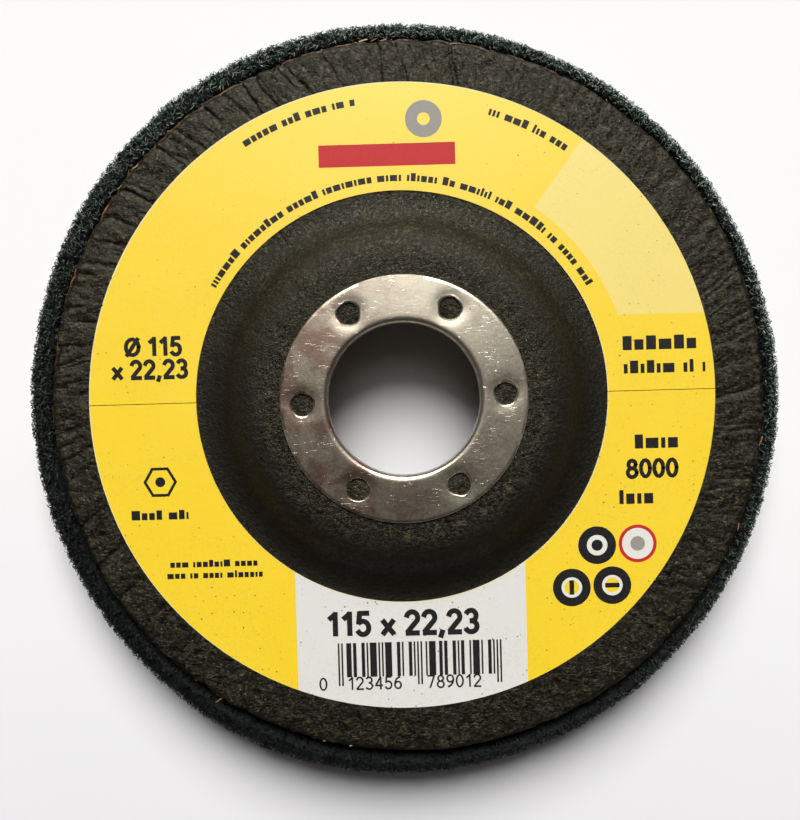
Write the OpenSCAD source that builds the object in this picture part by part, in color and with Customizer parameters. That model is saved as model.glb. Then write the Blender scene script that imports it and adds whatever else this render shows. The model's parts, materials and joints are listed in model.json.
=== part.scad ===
// Non-woven abrasive disc on a depressed-centre backing plate, for an angle grinder.
// Millimetres. The abrasive's working face lies at z = 0 and the bore is the Z axis,
// so +Z points from the abrasive to the back of the disc, where the label is.

/* [Abrasive] */
// Outer diameter of the abrasive
disc_d = 115; // [110:1:125]
// Diameter of the hole through the abrasive
abrasive_hole_d = 57; // [52:0.5:60]
// Thickness of the bonded abrasive, shared by its three webs
abrasive_t = 7; // [4:0.5:12]
// Rounding of the front web's outer edge
edge_round = 1; // [0.2:0.1:1.2]
// Thickness of the adhesive between the abrasive and the plate
adhesive_t = 0.3; // [0.1:0.05:0.5]

/* [Backing plate] */
// Outer diameter of the plate
plate_d = 107; // [100:1:109]
// Thickness of the plate, cover fleeces included
plate_t = 2.4; // [1.6:0.1:3]
// Number of resin-bonded glass cloth plies in the plate
ply_count = 4; // [2:1:6]
// Thickness of each cover fleece
fleece_t = 0.15; // [0.05:0.05:0.3]
// Height of the hub's back face over the rim's back face
hub_rise = 4.8; // [3:0.1:6]
// Radius of both bends of the hub's slope, on the back face
bend_r = 6; // [4:0.5:8]
// Diameter at which the slope runs out into the flat rim
foot_d = 60.8; // [58:0.2:62]

/* [Centre ring] */
// Diameter of the arbor bore
bore_d = 22.23; // [20:0.01:22.5]
// Outer diameter of the ring's flange
ring_d = 36; // [34:0.5:38]
// Thickness of the ring's sheet steel
ring_t = 0.7; // [0.4:0.1:0.9]
// Radius of the drawn edge between the flange and the bore
draw_r = 0.6; // [0.4:0.1:1.2]
// Width of the lip that is rolled into the front of the plate
lip_w = 1.6; // [1:0.1:2]
// Number of anchoring holes in the flange
ring_hole_count = 6; // [3:1:8]
// Diameter of an anchoring hole
ring_hole_d = 3.2; // [2:0.1:3.6]
// Diameter of the circle that the anchoring holes lie on
ring_hole_pcd = 29.4; // [28.5:0.1:30]
// Angle of the first anchoring hole from +X
ring_hole_turn = 3.2; // [0:0.1:59]

/* [Label] */
// Outer diameter of the label
label_d = 94; // [80:0.5:96]
// Diameter of the hole in the label
label_hole_d = 61.8; // [61.8:0.1:66]
// Thickness of the label paper
label_t = 0.1; // [0.05:0.05:0.2]
// Width of the slit between the label's halves
label_slit = 0.1; // [0.05:0.05:0.5]
// Angle of the slit from +X
label_turn = 1.6; // [-10:0.1:10]
// How far the label was stuck off the axis along X
label_off_x = -0.35; // [-0.4:0.05:0]
// How far the label was stuck off the axis along Y
label_off_y = 0.25; // [0:0.05:0.3]

/* [Hidden] */
$fn = 96;
eps = 0.01;
arc_steps = 8;      // straight steps in each bend of the plate
edge_steps = 4;     // straight steps in each small rounding

disc_r = disc_d / 2;
abrasive_hole_r = abrasive_hole_d / 2;
web_t = abrasive_t / 3;
adhesive_in = abrasive_hole_r + 0.2;
adhesive_out = plate_d / 2 - 1;

plate_r = plate_d / 2;
bore_r = bore_d / 2;
plate_hole_r = bore_r + ring_t;
ply_t = (plate_t - 2 * fleece_t) / ply_count;
rim_z = abrasive_t + adhesive_t + plate_t;    // back face of the flat rim
hub_z = rim_z + hub_rise;                     // back face of the hub
hub_front_z = hub_z - plate_t;
slope = acos(max(0, 1 - hub_rise / (2 * bend_r)));    // steepest angle of the hub's slope
foot_r = foot_d / 2;
shoulder_r = foot_r - 2 * bend_r * sin(slope);        // where the hub's flat back ends

ring_r = ring_d / 2;
flange_round = 0.2;
hole_round = 0.4;
roll_r = 0.4;
lip_t = fleece_t + ply_t;          // the lip takes the place of the two front layers
lip_end = plate_hole_r + lip_w;

// Points along an arc about (cx, cz), from angle a0 to angle a1
function arc(cx, cz, r, a0, a1, steps) =
    [for (i = [0:steps]) let(a = a0 + (a1 - a0) * i / steps) [cx + r * cos(a), cz + r * sin(a)]];

// The plate's section line at a depth below its back face, from its hole out to the edge:
// the hub's flat, the convex bend, the concave bend and the flat rim
function plate_line(depth, hole_r) = concat(
    [[hole_r, hub_z - depth]],
    arc(shoulder_r, hub_z - bend_r, bend_r - depth, 90, 90 - slope, arc_steps),
    [for (i = [1:arc_steps]) let(a = slope * (1 - i / arc_steps))
        [foot_r - (bend_r + depth) * sin(a), rim_z + bend_r - (bend_r + depth) * cos(a)]],
    [[plate_r, rim_z - depth]]
);

function reversed(points) = [for (i = [len(points) - 1:-1:0]) points[i]];

// One layer of the pressed plate, between two depths below its back face
module plate_layer(depth, thickness, hole_r = plate_hole_r) {
    rotate_extrude()
        polygon(concat(plate_line(depth, hole_r), reversed(plate_line(depth + thickness, hole_r))));
}

// A flat ring that stands on z
module flat_ring(r_in, r_out, z, thickness) {
    translate([0, 0, z])
        difference() {
            cylinder(h = thickness, r = r_out);
            translate([0, 0, -eps]) cylinder(h = thickness + 2 * eps, r = r_in);
        }
}

// The web that works: its outer edge is dressed round
module front_web() {
    color("darkslategray")
        rotate_extrude()
            polygon(concat(
                [[abrasive_hole_r, 0]],
                arc(disc_r - edge_round, edge_round, edge_round, -90, 0, edge_steps),
                [[disc_r, web_t], [abrasive_hole_r, web_t]]
            ));
}

module middle_web() {
    color("darkslategray") flat_ring(abrasive_hole_r, disc_r, web_t, web_t);
}

module back_web() {
    color("darkslategray") flat_ring(abrasive_hole_r, disc_r, 2 * web_t, web_t);
}

module adhesive_bed() {
    color("dimgray") flat_ring(adhesive_in, adhesive_out, abrasive_t, adhesive_t);
}

// The centre ring's lip lies in a wider hole through this fleece and the last ply
module front_cover_fleece() {
    color([0.13, 0.13, 0.12]) plate_layer(plate_t - fleece_t, fleece_t, lip_end);
}

// Plies count from the back of the plate
module glass_ply(i) {
    hole_r = i == ply_count ? lip_end : plate_hole_r;
    color([0.35, 0.27, 0.16]) plate_layer(fleece_t + (i - 1) * ply_t, ply_t, hole_r);
}

module back_cover_fleece() {
    color([0.17, 0.16, 0.14]) plate_layer(0, fleece_t);
}

// Cuts one anchoring hole through the flange, with its top edge drawn round
module anchoring_hole() {
    hole_r = ring_hole_d / 2;
    rotate_extrude()
        polygon(concat(
            [[0, hub_z - eps], [hole_r, hub_z - eps]],
            arc(hole_r + hole_round, hub_z + ring_t - hole_round, hole_round, 180, 90, edge_steps),
            [[hole_r + hole_round, hub_z + ring_t + eps], [0, hub_z + ring_t + eps]]
        ));
}

// A steel eyelet: the flange lies on the hub's back, the collar lines the bore,
// and the collar's end is rolled outwards, flush with the hub's front
module centre_ring() {
    top = hub_z + ring_t;
    lip_back_z = hub_front_z + lip_t;
    color("silver")
        difference() {
            rotate_extrude()
                polygon(concat(
                    arc(ring_r - flange_round, top - flange_round, flange_round, 90, 0, edge_steps),
                    [[ring_r, hub_z], [plate_hole_r, hub_z], [plate_hole_r, lip_back_z], [lip_end, lip_back_z]],
                    arc(lip_end - flange_round, hub_front_z + flange_round, flange_round, 0, -90, edge_steps),
                    arc(bore_r + roll_r, hub_front_z + roll_r, roll_r, 270, 180, edge_steps),
                    arc(bore_r + draw_r, top - draw_r, draw_r, 180, 90, edge_steps)
                ));
            for (i = [0:ring_hole_count - 1])
                rotate([0, 0, ring_hole_turn + i * 360 / ring_hole_count])
                    translate([ring_hole_pcd / 2, 0, 0])
                        anchoring_hole();
        }
}

// One half of the label: side is 1 for the half towards +Y and -1 for the other
module label_half(side) {
    color([0.97, 0.83, 0.2])
        translate([label_off_x, label_off_y, 0])
            rotate([0, 0, label_turn])
                intersection() {
                    flat_ring(label_hole_d / 2, label_d / 2, rim_z, label_t);
                    translate([-label_d, side > 0 ? label_slit / 2 : -label_slit / 2 - label_d, rim_z - eps])
                        cube([2 * label_d, label_d, label_t + 2 * eps]);
                }
}

front_web();
middle_web();
back_web();
adhesive_bed();
front_cover_fleece();
for (i = [1:ply_count])
    glass_ply(i);
back_cover_fleece();
centre_ring();
label_half(1);  // label_upper_half
label_half(-1);  // label_lower_half
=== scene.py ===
import json
import math

import bmesh
import bpy
import numpy as np
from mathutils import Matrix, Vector
from mathutils.geometry import delaunay_2d_cdt


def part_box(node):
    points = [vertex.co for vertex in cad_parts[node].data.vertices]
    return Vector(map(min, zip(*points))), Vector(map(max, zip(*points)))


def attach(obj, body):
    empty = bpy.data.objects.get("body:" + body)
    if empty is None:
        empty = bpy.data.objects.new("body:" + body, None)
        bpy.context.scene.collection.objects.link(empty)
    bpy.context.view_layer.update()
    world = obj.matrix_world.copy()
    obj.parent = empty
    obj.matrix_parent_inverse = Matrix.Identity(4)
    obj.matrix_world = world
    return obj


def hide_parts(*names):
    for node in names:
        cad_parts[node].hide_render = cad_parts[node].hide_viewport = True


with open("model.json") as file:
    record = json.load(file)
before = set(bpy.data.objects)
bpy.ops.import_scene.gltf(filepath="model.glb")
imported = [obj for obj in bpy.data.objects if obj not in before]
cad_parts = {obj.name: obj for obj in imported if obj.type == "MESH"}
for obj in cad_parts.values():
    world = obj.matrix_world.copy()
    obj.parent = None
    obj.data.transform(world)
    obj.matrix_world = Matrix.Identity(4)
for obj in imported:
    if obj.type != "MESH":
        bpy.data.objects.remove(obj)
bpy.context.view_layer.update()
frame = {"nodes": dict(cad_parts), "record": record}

# Sizes, in metres. What the frame can tell comes from it. The rest repeats
# the driving dimensions of the CAD source.
MM = 0.001
TAU = 2 * math.pi

DISC_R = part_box("middle_web")[1].x
RIM_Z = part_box("label_upper_half")[0].z  # back face of the plate's flat rim
HUB_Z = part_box("back_cover_fleece")[1].z  # back face of the hub
BACK_WEB_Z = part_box("back_web")[1].z
MIDDLE_WEB_LOW, MIDDLE_WEB_HIGH = (corner.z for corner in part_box("middle_web"))
RING_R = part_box("centre_ring")[1].x
RING_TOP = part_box("centre_ring")[1].z
BORE_R = frame["record"]["mounts"][0]["dims"]["r_mm"] * MM

PLATE_R = 53.5 * MM
PLATE_T = 2.4 * MM
FLEECE_T = 0.15 * MM
PLY_COUNT = 4
PLY_T = (PLATE_T - 2 * FLEECE_T) / PLY_COUNT
BEND_R = 6 * MM
FOOT_R = 30.4 * MM
PLATE_HOLE_R = BORE_R + 0.7 * MM
LIP_END = PLATE_HOLE_R + 1.6 * MM
ABRASIVE_HOLE_R = 28.5 * MM
SLOPE = math.acos(1 - (HUB_Z - RIM_Z) / (2 * BEND_R))
SHOULDER_R = FOOT_R - 2 * BEND_R * math.sin(SLOPE)

LABEL_OUT = 47.0 * MM
LABEL_IN = 30.9 * MM
LABEL_T = 0.1 * MM
LABEL_SLIT = 0.1 * MM
LABEL_TURN = math.radians(1.6)
LABEL_AT = np.array([-0.35, 0.25]) * MM

SWIRL = math.radians(17)  # the rim's creases lean that far from radial, anticlockwise


# Noise and mesh helpers
LATTICE = np.random.default_rng(7).random(65536) * 2 - 1
PRIMES = 73856093, 19349663, 83492791  # they scatter the lattice's cells over the table


def noise(x, y, z=0.0, seed=0):
    """Smooth value noise from -1 to 1 at arrays of points, one lattice cell per unit."""
    x, y, z = np.broadcast_arrays(x, y, z)
    cell = [np.floor(v).astype(np.int64) for v in (x, y, z)]
    part = [v - c for v, c in zip((x, y, z), cell)]
    part = [f * f * (3 - 2 * f) for f in part]
    total = np.zeros(x.shape)
    for corner in np.ndindex(2, 2, 2):
        h = [(c + one) * prime for c, one, prime in zip(cell, corner, PRIMES)]
        value = LATTICE[((h[0] ^ h[1] ^ h[2]) + seed * 7919) & 65535]
        weight = [f if one else 1 - f for f, one in zip(part, corner)]
        total += value * (weight[0] * weight[1] * weight[2])
    return total


def around(theta, waves, seed=0, row=0.0):
    """Noise that closes on itself round the disc, with about that many waves in a turn."""
    radius = waves / TAU * 2
    return noise(radius * np.cos(theta), radius * np.sin(theta), row, seed)


def step(x, low, high):
    """0 below low, 1 above high, smooth between."""
    t = np.clip((x - low) / (high - low), 0, 1)
    return t * t * (3 - 2 * t)


def bump(theta, centre_deg, width_deg):
    """1 at an angle round the disc, fading out over that width on each side."""
    away = (np.degrees(theta) - centre_deg + 180) % 360 - 180
    return np.exp(-((away / width_deg) ** 2))


def new_object(name, points, faces, smooth=True):
    mesh = bpy.data.meshes.new(name)
    mesh.from_pydata(points.tolist(), [], faces)
    mesh.polygons.foreach_set("use_smooth", [smooth] * len(mesh.polygons))
    mesh.update()
    obj = bpy.data.objects.new(name, mesh)
    bpy.context.scene.collection.objects.link(obj)
    return obj


def on_ring(r, theta, z):
    return np.stack([r * np.cos(theta), r * np.sin(theta), z], -1)


def polar(line):
    """Distance from the axis and angle round it, of arrays of points."""
    return np.linalg.norm(line[..., :2], axis=-1), np.arctan2(line[..., 1], line[..., 0])


def ring_solid(name, r, z, turns, shape=None):
    """A closed solid of revolution with a closed section (r, z), bent by shape(r, z, theta)."""
    count = len(r)
    theta = np.arange(turns) / turns * TAU
    rr, tt = np.meshgrid(r, theta)
    zz = np.broadcast_to(z, rr.shape).copy()
    if shape:
        rr, zz = shape(rr, zz, tt)
    points = on_ring(rr, tt, zz).reshape(-1, 3)
    i, j = np.meshgrid(np.arange(turns), np.arange(count), indexing="ij")
    i2, j2 = (i + 1) % turns, (j + 1) % count
    quads = np.stack([i * count + j, i2 * count + j, i2 * count + j2, i * count + j2], -1)
    return new_object(name, points, quads.reshape(-1, 4).tolist())


def plate_line(depth, radii):
    """Height of the plate at those radii, at a depth below its back face."""
    z = np.full(len(radii), HUB_Z - depth)
    top_r, foot = BEND_R - depth, BEND_R + depth
    split = SHOULDER_R + top_r * math.sin(SLOPE)
    convex = (radii > SHOULDER_R) & (radii <= split)
    z[convex] = HUB_Z - BEND_R + np.sqrt(top_r**2 - (radii[convex] - SHOULDER_R) ** 2)
    concave = (radii > split) & (radii < FOOT_R)
    z[concave] = RIM_Z + BEND_R - np.sqrt(foot**2 - (FOOT_R - radii[concave]) ** 2)
    z[radii >= FOOT_R] = RIM_Z - depth
    return z


def spans(*stops):
    """Radii from a list of (end, step) after a start, all in millimetres."""
    out = [stops[0]]
    for end, size in stops[1:]:
        n = max(1, round((end - out[-1]) / size))
        out.extend(np.linspace(out[-1], end, n + 1)[1:])
    return np.array(out) * MM


# Materials
class Nodes:
    """Short calls for the nodes of one tree."""

    def __init__(self, tree):
        self.tree = tree

    def feed(self, socket, value):
        """Links another node's output to a socket, or sets the socket to a constant."""
        if isinstance(value, bpy.types.NodeSocket):
            self.tree.links.new(value, socket)
        else:
            socket.default_value = value

    def node(self, kind, **inputs):
        node = self.tree.nodes.new(kind)
        for key, value in inputs.items():
            self.feed(node.inputs[key.replace("_", " ")], value)
        return node

    def split(self, vector):
        return list(self.node("ShaderNodeSeparateXYZ", Vector=vector).outputs)

    def ramp(self, fac, *stops):
        """A colour ramp. A stop is a position and a colour or a grey."""
        node = self.node("ShaderNodeValToRGB", Fac=fac)
        points = node.color_ramp.elements
        while len(points) < len(stops):
            points.new(0.5)
        for point, (at, colour) in zip(points, stops):
            point.position = at
            point.color = (*colour, 1) if isinstance(colour, tuple) else (colour,) * 3 + (1,)
        return node.outputs["Color"]


class Shader(Nodes):
    """A Principled material whose patterns are in millimetres of the object's own space."""

    def __init__(self, name, **sockets):
        self.material = bpy.data.materials.new(name)
        self.material.use_nodes = True
        super().__init__(self.material.node_tree)
        self.bsdf = self.tree.nodes["Principled BSDF"]
        for key, value in sockets.items():
            self.bsdf.inputs[key.replace("_", " ")].default_value = value
        self.coords = self.node("ShaderNodeTexCoord").outputs["Object"]
        self.mm = self.mapping(self.coords, (1 / MM,) * 3)

    def mapping(self, vector, scale, rotation=(0, 0, 0), location=(0, 0, 0), kind="POINT"):
        node = self.node("ShaderNodeMapping", Vector=vector, Scale=scale, Rotation=rotation)
        node.inputs["Location"].default_value = location
        node.vector_type = kind
        return node.outputs["Vector"]

    def noise(self, scale, detail=3.0, rough=0.55, vector=None, distort=0.0):
        node = self.node("ShaderNodeTexNoise", Vector=vector or self.mm, Scale=scale)
        for key, value in (("Detail", detail), ("Roughness", rough), ("Distortion", distort)):
            node.inputs[key].default_value = value
        return node.outputs["Fac"]

    def mix(self, fac, a, b, mode="MIX"):
        node = self.node("ShaderNodeMix")
        node.data_type = "RGBA"
        node.blend_type = mode
        for value, socket in ((fac, node.inputs[0]), (a, node.inputs[6]), (b, node.inputs[7])):
            self.feed(socket, (*value, 1) if isinstance(value, tuple) else value)
        return node.outputs[2]

    def math(self, what, a, b=0.0):
        node = self.node("ShaderNodeMath")
        node.operation = what
        for value, socket in zip((a, b), node.inputs):
            self.feed(socket, value)
        return node.outputs[0]

    def mul(self, a, b):
        return self.math("MULTIPLY", a, b)

    def add(self, a, b):
        return self.math("ADD", a, b)

    def length(self, x, y):
        return self.math("SQRT", self.add(self.mul(x, x), self.mul(y, y)))

    def parts(self):
        """X, Y, Z and distance from the axis, in millimetres."""
        x, y, z = self.split(self.mm)
        return x, y, z, self.length(x, y)

    def rise(self, value, low, high):
        return self.ramp(value, (low, 0.0), (high, 1.0))

    def fall(self, value, low, high):
        return self.ramp(value, (low, 1.0), (high, 0.0))

    def hairs(self, stretch, angles, detail, rough):
        """The strongest of several noises, each drawn out into lines at its own angle."""
        strongest = None
        for angle in angles:
            line = self.noise(1.0, detail, rough, self.mapping(self.mm, stretch, (0, 0, angle)))
            strongest = self.math("MAXIMUM", strongest, line) if strongest else line
        return strongest

    def dots(self, scale, full, none):
        """Small round dots, one in each cell."""
        node = self.node("ShaderNodeTexVoronoi", Vector=self.mm, Scale=scale)
        return self.fall(node.outputs["Distance"], full, none)

    def spots(self, scale, full, none, share, low, high):
        """The same, in patches where a broad noise is high."""
        return self.mul(self.dots(scale, full, none), self.rise(self.noise(share, 2), low, high))

    def over(self, value, limit, soft=0.05):
        """1 where the value is over the limit, 0 where it is under, soft on each side."""
        node = self.node("ShaderNodeMapRange", Value=value, From_Min=limit - soft, From_Max=limit + soft)
        return node.outputs["Result"]

    def under(self, value, limit, soft=0.05):
        return self.math("SUBTRACT", 1.0, self.over(value, limit, soft))

    def bump(self, height, distance_mm, strength=1.0, after=None):
        node = self.node("ShaderNodeBump", Height=height, Strength=strength, Distance=distance_mm * MM)
        if after:
            self.feed(node.inputs["Normal"], after)
        return node.outputs["Normal"]

    def island(self):
        return self.node("ShaderNodeNewGeometry").outputs["Random Per Island"]

    def set(self, socket, value):
        self.feed(self.bsdf.inputs[socket], value)


def fleece_material(name):
    """Black resin-soaked fleece: brown fibre mottling over a satin, finely lumpy skin."""
    soaked, resin, brown = (0.0005, 0.0004, 0.0002), (0.0052, 0.0048, 0.0022), (0.056, 0.051, 0.028)
    # The second of these colours is painted shade for the hub's slope
    pit, painted_slope_shade = (0.0008, 0.0007, 0.0004), (0.0010, 0.0009, 0.0005)
    s = Shader(name, Specular_IOR_Level=0.31, Specular_Tint=(1.0, 0.94, 0.72, 1.0))
    felt = s.noise(1.7, 4, 0.68, distort=0.7)
    patches = s.noise(0.95, 5, 0.80, distort=1.0)
    colour = s.ramp(patches, (0.43, soaked), (0.54, resin), (0.65, brown))
    hairs = s.rise(s.hairs((0.9, 8.0, 2), (0.3, 1.0, 1.8, 2.5), 2, 0.5), 0.66, 0.74)
    hairs = s.mul(hairs, s.ramp(s.noise(0.5, 3), (0.38, 0.10), (0.60, 1.0)))
    colour = s.mix(s.mul(hairs, 0.80), colour, (0.145, 0.130, 0.092))
    colour = s.mix(s.ramp(felt, (0.38, 0.8), (0.50, 0.0)), colour, pit)
    dust = s.mul(s.dots(0.9, 0.04, 0.10), s.rise(s.noise(0.30, 4, 0.65), 0.42, 0.58))
    colour = s.mix(s.mul(dust, 0.7), colour, (0.30, 0.28, 0.23))
    # Painted shade on the hub's slope, where it faces away from the light: darker and duller, most of all
    # towards -Y
    _, y, _, reach = s.parts()
    slope = s.ramp(s.mul(reach, 0.02), (0.40, 0.0), (0.46, 1.0), (0.60, 1.0), (0.63, 0.0))
    slope = s.mul(slope, s.ramp(s.add(s.mul(y, 0.014), 0.5), (0.50, 0.95), (0.90, 0.10)))
    s.set("Base Color", s.mix(slope, colour, painted_slope_shade))
    rough = s.ramp(s.noise(1.6, 3, 0.6), (0.38, 0.52), (0.62, 0.28))
    s.set("Roughness", s.add(rough, s.mul(slope, 0.25)))
    grain = s.bump(s.noise(3.0, 2, 0.5), 0.04, 1.0, s.bump(felt, 0.23, 1.0))
    s.set("Normal", s.bump(hairs, 0.03, 0.6, grain))
    return s.material


def glass_material():
    """The plate's cut edge: dark resin with amber yarn ends in it."""
    resin, soaked, amber = (0.016, 0.009, 0.006), (0.085, 0.036, 0.016), (0.30, 0.15, 0.06)
    s = Shader("resin_glass_edge", Specular_IOR_Level=0.5)
    yarn = s.noise(1.1, 3, 0.6, s.mapping(s.mm, (1, 1, 3.4)))
    s.set("Base Color", s.ramp(yarn, (0.40, resin), (0.56, soaked), (0.72, amber)))
    s.set("Roughness", s.ramp(yarn, (0.3, 0.6), (0.7, 0.3)))
    s.set("Normal", s.bump(s.noise(3.0, 3), 0.12, 0.9))
    return s.material


def strand_material():
    """Loose yarn ends: amber resin, paler where the glass is bare."""
    resin, amber, bare = (0.09, 0.036, 0.014), (0.34, 0.17, 0.065), (0.80, 0.60, 0.34)
    s = Shader("amber_strands", Roughness=0.32, Specular_IOR_Level=0.6)
    s.set("Base Color", s.ramp(s.island(), (0.0, resin), (0.6, amber), (1.0, bare)))
    return s.material


def web_core_material():
    """Deep inside of the fibre web: nearly black, darker than its fibres, as painted shade for the depths
    between them.
    """
    s = Shader("abrasive_core", Specular_IOR_Level=0.2, Roughness=0.8)
    grain = s.noise(3.0, 4, 0.65)
    s.set("Base Color", s.ramp(grain, (0.35, (0.0010, 0.0013, 0.0012)), (0.7, (0.008, 0.011, 0.010))))
    s.set("Normal", s.bump(grain, 0.25, 1.0))
    return s.material


def web_fibre_material():
    """Nylon fibres coated in resin and grit: blue-green black, each a shade of its own."""
    deep, dark = (0.018, 0.028, 0.021), (0.107, 0.152, 0.118)
    pale, bare = (0.42, 0.55, 0.44), (0.86, 0.95, 0.86)
    tint = (0.86, 0.97, 1.0, 1.0)
    s = Shader("abrasive_fibre", Specular_IOR_Level=0.30, Roughness=0.26, Specular_Tint=tint)
    grit = s.noise(7.0, 2, 0.6)
    shade = s.add(s.mul(s.island(), 0.8), s.mul(grit, 0.4))
    colour = s.ramp(shade, (0.30, deep), (0.60, dark), (0.82, pale), (1.0, bare))
    # Painted light: on the swollen band the fibres are made paler towards +Y and a little towards +X, where
    # the light falls, and darker towards -Y
    x, y, z, reach = s.parts()
    side = s.add(s.add(s.mul(y, 0.0082), s.mul(x, 0.0026)), 0.5)
    side = s.ramp(side, (0.05, 0.015), (0.22, 0.08), (0.45, 0.26), (0.55, 0.36), (0.80, 0.85), (0.97, 1.0))
    # The outer wall is one shade all the way round, without the painted light
    wall = s.fall(s.mul(z, 0.1), 0.48, 0.62)
    side = s.mix(wall, side, (0.30, 0.30, 0.30))
    # The fibres are darker towards the plate and paler towards the disc's edge
    paler_outwards = s.mul(s.math("SUBTRACT", reach, 50.0), 0.125)
    paler_outwards = s.ramp(paler_outwards, (0.70, 0.55), (0.82, 0.85), (0.94, 1.0))
    s.set("Base Color", s.mix(1.0, s.mix(1.0, colour, side, "MULTIPLY"), paler_outwards, "MULTIPLY"))
    s.set("Normal", s.bump(grit, 0.04, 0.6))
    return s.material


def ring_material():
    """Tinned sheet steel, satin and a little stained, with fine scratches every way; a painted reflection
    darkens it towards -X.
    """
    s = Shader("tinned_steel", Metallic=1.0)
    cloud = s.noise(0.30, 4, 0.6)
    fine = s.noise(2.5, 4, 0.7)
    colour = s.ramp(cloud, (0.3, (0.61, 0.56, 0.44)), (0.7, (0.75, 0.69, 0.55)))
    # Partly a reddish stain in patches, partly painted reflection: the ring is made darker and redder
    # mostly towards -X, for a dark warm reflection on that side
    stain_and_reflection = s.rise(s.noise(0.20, 3, 0.6, distort=0.8), 0.43, 0.58)
    x, y, _, _ = s.parts()
    side = s.add(s.add(s.mul(x, -0.029), s.mul(y, -0.006)), 0.5)
    stain_and_reflection = s.mul(s.add(s.mul(stain_and_reflection, 0.55), 0.30), s.ramp(side, (0.35, 0.15), (0.80, 1.0)))
    colour = s.mix(stain_and_reflection, colour, (0.34, 0.21, 0.17))
    scratch = s.rise(s.hairs((0.45, 11.0, 1), (0.25, 0.95, 1.5, 2.1, 2.75), 1, 0.4), 0.72, 0.79)
    patches = s.rise(s.noise(0.35, 2), 0.48, 0.62)
    scratch = s.mul(scratch, s.add(s.mul(patches, 0.8), 0.2))
    scuffs = s.spots(1.3, 0.10, 0.20, 0.28, 0.56, 0.64)
    pits = s.spots(0.8, 0.05, 0.10, 0.5, 0.52, 0.60)
    colour = s.mix(s.mul(scratch, 0.5), colour, (0.90, 0.88, 0.84))
    s.set("Base Color", s.mix(s.mul(pits, 0.8), colour, (0.10, 0.075, 0.06)))
    rough = s.ramp(s.add(s.mul(fine, 0.6), s.mul(cloud, 0.4)), (0.35, 0.40), (0.65, 0.30))
    s.set("Roughness", s.add(rough, s.mul(scuffs, 0.22)))
    s.set("Normal", s.bump(scratch, 0.014, 0.7, s.bump(scuffs, 0.03, 0.6, s.bump(fine, 0.016, 0.6))))
    return s.material


def paper_material():
    """Coated paper: yellow ground, a paler window, a white field and specks of abrasive dust."""
    s = Shader("label_paper_print", Specular_IOR_Level=0.75)
    x, y, _ = s.split(s.mapping(s.coords, (MM,) * 3, (0, 0, LABEL_TURN), (*LABEL_AT, 0), "TEXTURE"))
    cloud = s.ramp(s.noise(0.08, 3, 0.5), (0.35, 0.0), (0.7, 0.35))
    base = s.mix(cloud, (0.82, 0.580, 0.018), (0.84, 0.62, 0.040))
    # The paler window: right of a radial edge, above a straight one and outside an arc
    beyond = s.math("SUBTRACT", s.mul(x, 0.803), s.mul(y, 0.596))
    window = s.mul(s.over(beyond, 0.0), s.mul(s.over(y, 11.4), s.over(s.length(x, y), 34.6)))
    base = s.mix(window, base, (0.78, 0.63, 0.17))
    field = s.mul(s.over(x, -16.8), s.mul(s.under(x, 17.9), s.under(y, 0.0)))
    base = s.mix(field, base, (0.66, 0.66, 0.63))
    # The bare margin where the print was cut a little off centre
    off_r = s.length(s.add(x, -0.08), s.add(y, 0.06))
    outside, inside = s.over(off_r, LABEL_OUT / MM - 0.05, 0.02), s.under(off_r, LABEL_IN / MM + 0.03, 0.02)
    base = s.mix(s.math("MAXIMUM", outside, inside), base, (0.72, 0.66, 0.40))
    # Dust and specks, more of them towards -Y
    dirty = s.ramp(s.add(s.noise(0.10, 3, 0.6), s.mul(y, -0.0022)), (0.42, 0.10), (0.60, 1.0))
    specks = s.spots(0.95, 0.08, 0.14, 0.7, 0.45, 0.55)
    hairs = s.ramp(s.hairs((0.9, 7.0, 1), (0.9,), 2, 0.5), (0.70, 0.0), (0.78, 0.8))
    hairs = s.mul(hairs, s.rise(s.noise(0.5, 2), 0.50, 0.56))
    dust = s.ramp(s.noise(3.0, 4, 0.8), (0.50, 0.0), (0.80, 0.60))
    base = s.mix(s.mul(s.mul(dust, dirty), 0.7), base, (0.34, 0.26, 0.08))
    base = s.mix(s.mul(s.math("MAXIMUM", specks, hairs), dirty), base, (0.05, 0.045, 0.03))
    s.set("Base Color", base)
    s.set("Roughness", s.ramp(s.noise(1.5, 3), (0.3, 0.38), (0.7, 0.46)))
    s.set("Normal", s.bump(s.noise(1.6, 3), 0.015, 0.9))
    return s.material


def ink_material(name, colour, lighter):
    """Printing ink, slightly uneven."""
    s = Shader(name, Roughness=0.5, Specular_IOR_Level=0.25)
    s.set("Base Color", s.mix(s.ramp(s.noise(3.5, 3, 0.7), (0.5, 0.0), (0.8, 0.6)), colour, lighter))
    s.set("Normal", s.bump(s.noise(2.5, 2), 0.008, 0.6))
    return s.material


def floor_material():
    """Pale card, with painted shade that darkens it a little towards -Y, where the light falls off."""
    s = Shader("floor_card", Roughness=1.0, Specular_IOR_Level=0.1)
    along = s.add(s.mul(s.parts()[1], 0.007), s.add(s.mul(s.noise(0.02, 2), 0.2), 0.38))
    s.set("Base Color", s.ramp(along, (0.0, (0.71, 0.71, 0.735)), (0.5, (0.81, 0.81, 0.82))))
    return s.material


# Camera, floor and light
def add_camera():
    """Nearly straight above the disc, leaning a little towards -Y."""
    data = bpy.data.cameras.new("camera")
    data.lens = 38.06
    data.sensor_width = 36
    cam = bpy.data.objects.new("camera", data)
    cam.location = (0.0, 1.15 * MM, 140 * MM)
    cam.rotation_euler = (math.radians(-1.25), math.radians(0.26), 0)
    data.clip_start = 0.01
    bpy.context.scene.collection.objects.link(cam)
    bpy.context.scene.camera = cam


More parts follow.
